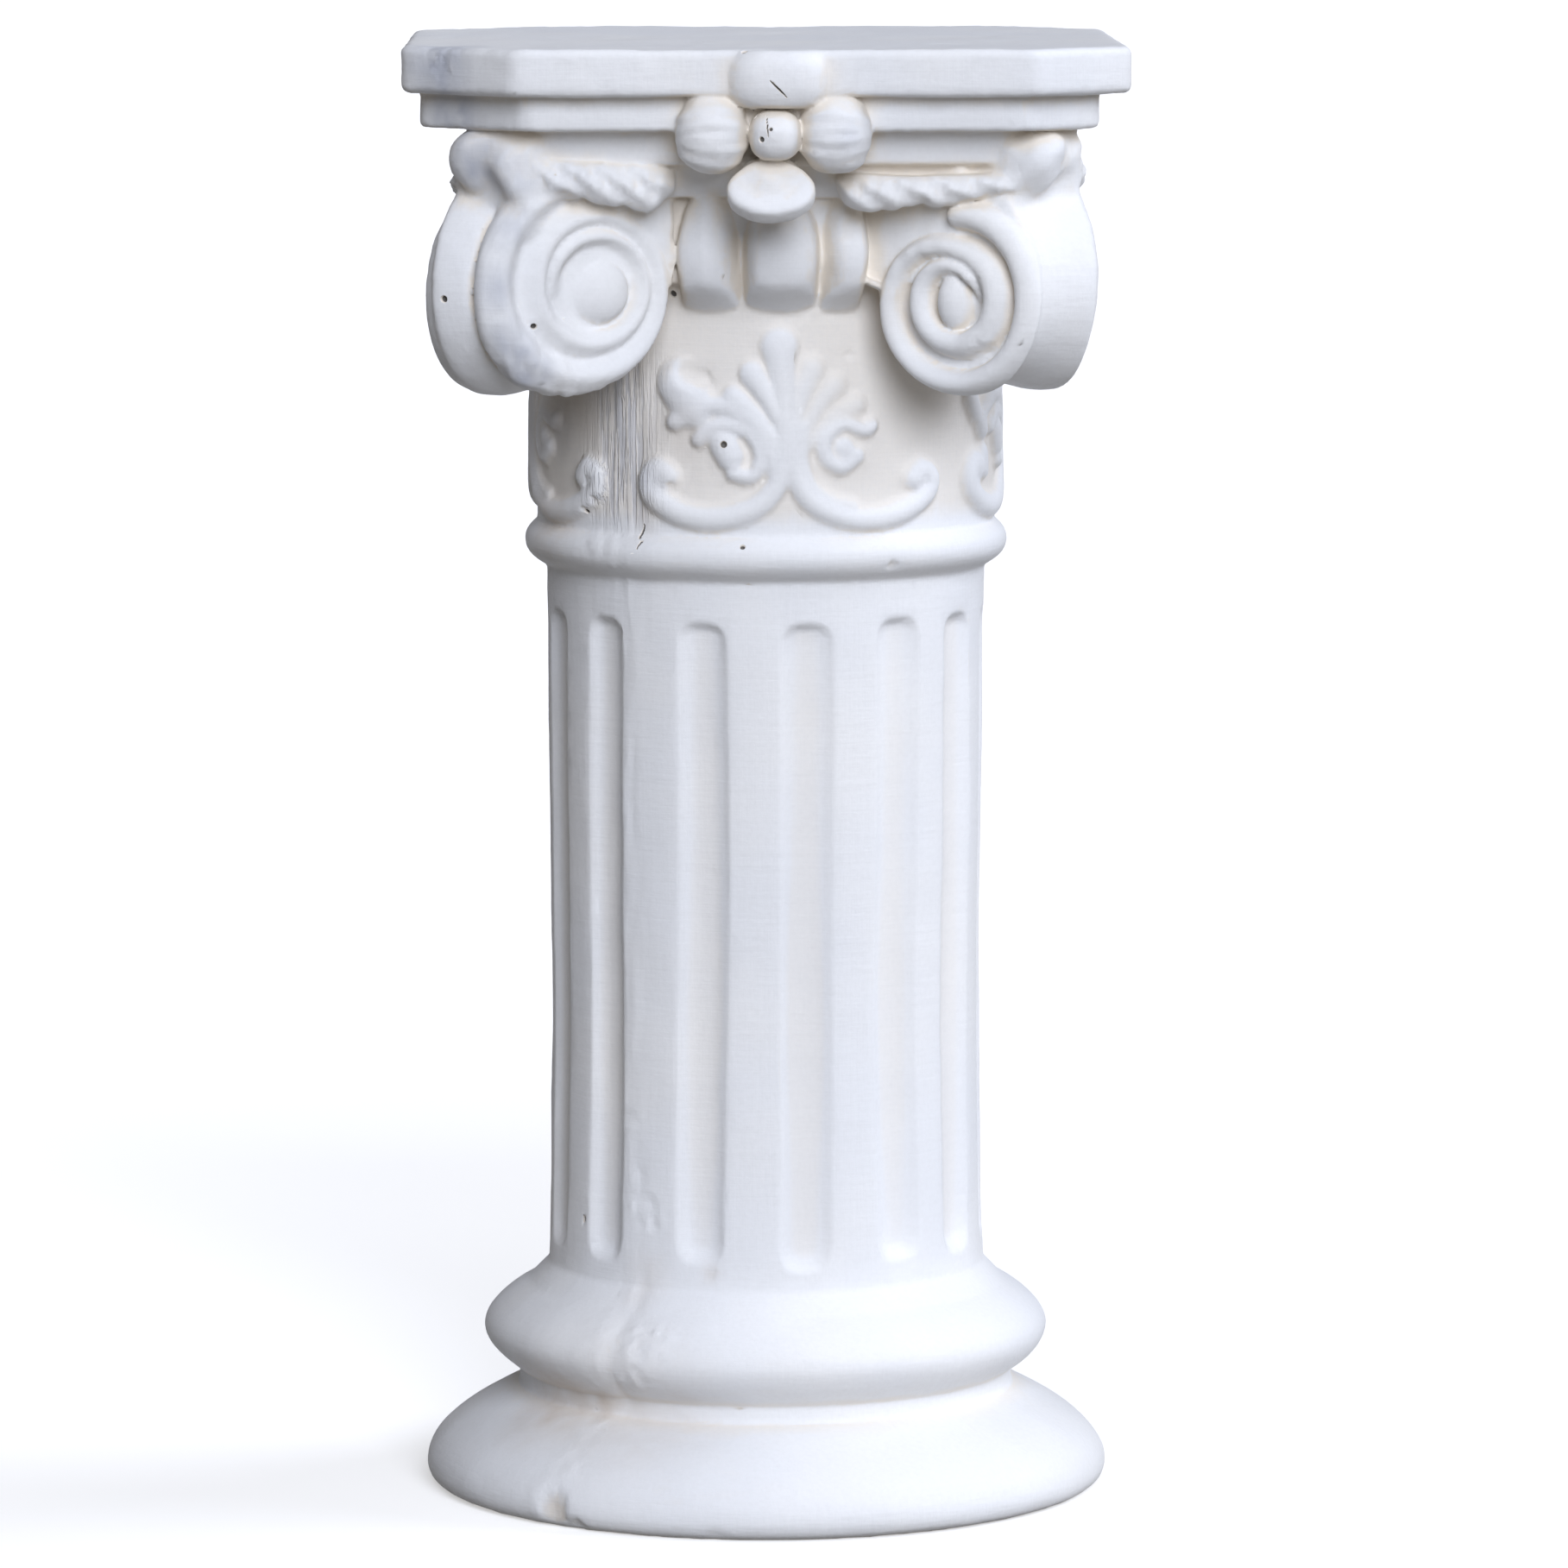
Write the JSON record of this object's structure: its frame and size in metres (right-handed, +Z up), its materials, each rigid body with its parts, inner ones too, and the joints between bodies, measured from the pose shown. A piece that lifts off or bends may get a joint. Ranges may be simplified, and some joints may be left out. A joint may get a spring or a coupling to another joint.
{
  "type": "column pedestal",
  "caption": "Short fluted column with a double-torus foot, a scrolled capital and a flat cut-corner top that carries a plant, bust or urn.",
  "frame": {"origin": "centre of the round underside, on the floor", "axes": "+Z up the column, -Y out of the front flower, X along the front edge of the top"},
  "size_m": [0.344, 0.362, 0.7],
  "materials": {
    "plaster": "matte, brushed white, faintly cream in the hollows"
  },
  "bodies": {
    "root": {"pedestal": "plaster"}
  },
  "joints": []
}
